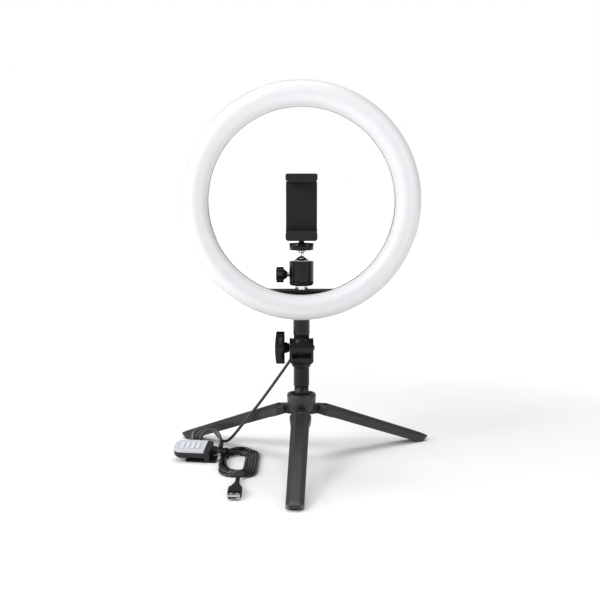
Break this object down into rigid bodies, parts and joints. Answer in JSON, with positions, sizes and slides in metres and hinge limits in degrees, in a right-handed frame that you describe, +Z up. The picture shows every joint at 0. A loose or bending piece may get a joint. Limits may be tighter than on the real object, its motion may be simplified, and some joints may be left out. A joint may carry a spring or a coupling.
{
  "type": "ring light",
  "caption": "Tabletop ring light on a folding tripod, with a tilt block, a ball head, a spring phone holder and a wired button remote on a USB cord.",
  "frame": {"origin": "on the floor under the post's axis, at the level of the foot pads' soles", "axes": "+Z up along the post, the lit side of the ring faces -Y, +X to the right of someone facing the lit side"},
  "size_m": [0.3068, 0.2719, 0.425],
  "materials": {
    "black_gloss": "gloss black lacquer",
    "black_metal": "satin black",
    "black_plastic": "fine matt black",
    "grey_plastic": "satin charcoal",
    "glossy_plastic": "smooth black",
    "opal": "milky, satin front",
    "rubber_black": "soft matt",
    "steel": "turned steel",
    "nut_steel": "bright zinc",
    "chrome_ball": "polished",
    "brass_insert": "turned brass",
    "nylon": "natural nylon",
    "board_white": "white solder mask",
    "led_yellow": "phosphor yellow",
    "board_green": "green solder mask",
    "remote_silver": "silver paint",
    "button_pale": "pale smooth plastic",
    "cord_black": "smooth cord jacket",
    "usb_metal": "plated steel",
    "usb_white": "white insulator"
  },
  "bodies": {
    "stand": {"hub_body": "grey_plastic", "hub_pad": "rubber_black", "tripod_stud": "steel", "leg_pins": "steel", "post_foot": "black_metal", "lower_tube": "black_gloss", "clevis": "black_metal", "tilt_nut": "steel", "lamp_cord": "cord_black", "left_hank": "cord_black", "right_hank": "cord_black", "cable_tie": "rubber_black", "plug_body": "rubber_black", "plug_shell": "usb_metal", "plug_insert": "usb_white", "remote_base": "grey_plastic", "remote_top": "remote_silver", "remote_clip": "grey_plastic", "remote_board": "board_green", "remote_boot": "rubber_black"},
    "front_leg": {"leg_front": "grey_plastic", "foot_front": "rubber_black"},
    "right_leg": {"leg_right": "grey_plastic", "foot_right": "rubber_black"},
    "left_leg": {"leg_left": "grey_plastic", "foot_left": "rubber_black"},
    "tilt_lock": {"tilt_knob": "glossy_plastic", "tilt_bolt": "steel"},
    "lamp_head": {"tilt_tongue": "black_metal", "upper_tube": "black_gloss", "bridge_body": "black_plastic", "bridge_cover": "black_plastic", "cover_screws": "steel", "rear_shell": "black_plastic", "diffuser": "opal", "led_board": "board_white", "led_chips": "led_yellow", "shell_screws": "steel", "cable_gland": "rubber_black", "bridge_stud": "steel", "stud_nut": "nut_steel"},
    "ball_base": {"ball_head_body": "black_gloss", "ball_head_base": "black_gloss", "ball_cup": "nylon"},
    "ball_lock": {"lock_knob": "black_plastic", "lock_screw": "steel"},
    "ball": {"ball_stem": "chrome_ball"},
    "wheel": {"lock_wheel": "black_gloss"},
    "phone_holder": {"holder_body": "black_plastic", "holder_cover": "black_plastic", "holder_screws": "steel", "holder_insert": "brass_insert", "holder_pads": "rubber_black", "jaw_springs": "steel"},
    "jaw": {"sliding_jaw": "black_plastic", "jaw_pad": "rubber_black"},
    "power_key": {"button_power": "button_pale"},
    "colour_key": {"button_colour": "button_pale"},
    "brighter_key": {"button_brighter": "button_pale"},
    "dimmer_key": {"button_dimmer": "button_pale"}
  },
  "joints": [
    {"name": "front_leg_fold", "type": "hinge", "parent": "stand", "child": "front_leg", "pos_m": [-0.001, -0.02498, 0.05696], "axis": [0.9992, -0.0401, 0], "range_deg": [0, 69]},
    {"name": "right_leg_fold", "type": "hinge", "parent": "stand", "child": "right_leg", "pos_m": [0.02213, 0.01162, 0.05696], "axis": [-0.4648, 0.8854, 0], "range_deg": [0, 69]},
    {"name": "left_leg_fold", "type": "hinge", "parent": "stand", "child": "left_leg", "pos_m": [-0.02113, 0.01336, 0.05696], "axis": [-0.5344, -0.8453, 0], "range_deg": [0, 69]},
    {"name": "tilt_lock_turn", "type": "hinge", "parent": "stand", "child": "tilt_lock", "pos_m": [0, 0, 0.12966], "axis": [-1, 0, 0], "range_deg": [0, 270]},
    {"name": "head_tilt", "type": "hinge", "parent": "stand", "child": "lamp_head", "pos_m": [0, 0, 0.12966], "axis": [1, 0, 0], "range_deg": [-90, 90], "deforming": ["lamp_cord"]},
    {"name": "ball_base_turn", "type": "hinge", "parent": "lamp_head", "child": "ball_base", "pos_m": [0, 0, 0.20116], "axis": [0, 0, 1], "range_deg": [-180, 180]},
    {"name": "ball_lock_turn", "type": "hinge", "parent": "ball_base", "child": "ball_lock", "pos_m": [-0.02, 0, 0.21326], "axis": [-1, 0, 0], "range_deg": [0, 270]},
    {"name": "ball_tilt", "type": "hinge", "parent": "ball_base", "child": "ball", "pos_m": [0, 0, 0.22366], "axis": [0, 1, 0], "range_deg": [-35, 35]},
    {"name": "wheel_turn", "type": "hinge", "parent": "ball", "child": "wheel", "pos_m": [0, 0, 0.24086], "axis": [0, 0, 1], "range_deg": [0, 270]},
    {"name": "holder_turn", "type": "hinge", "parent": "ball", "child": "phone_holder", "pos_m": [0, 0, 0.25156], "axis": [0, 0, 1], "range_deg": [-180, 180]},
    {"name": "jaw_slide", "type": "slide", "parent": "phone_holder", "child": "jaw", "axis": [0, 0, 1], "range_m": [0, 0.029], "stiffness_N_per_m": 180, "springref_m": -0.012, "deforming": ["jaw_springs"]},
    {"name": "power_press", "type": "slide", "parent": "stand", "child": "power_key", "axis": [0.036, 0.2563, -0.9659], "range_m": [0, 0.0006], "stiffness_N_per_m": 350, "springref_m": -0.0004},
    {"name": "colour_press", "type": "slide", "parent": "stand", "child": "colour_key", "axis": [0.036, 0.2563, -0.9659], "range_m": [0, 0.0006], "stiffness_N_per_m": 350, "springref_m": -0.0004},
    {"name": "brighter_press", "type": "slide", "parent": "stand", "child": "brighter_key", "axis": [0.036, 0.2563, -0.9659], "range_m": [0, 0.0006], "stiffness_N_per_m": 350, "springref_m": -0.0004},
    {"name": "dimmer_press", "type": "slide", "parent": "stand", "child": "dimmer_key", "axis": [0.036, 0.2563, -0.9659], "range_m": [0, 0.0006], "stiffness_N_per_m": 350, "springref_m": -0.0004}
  ]
}
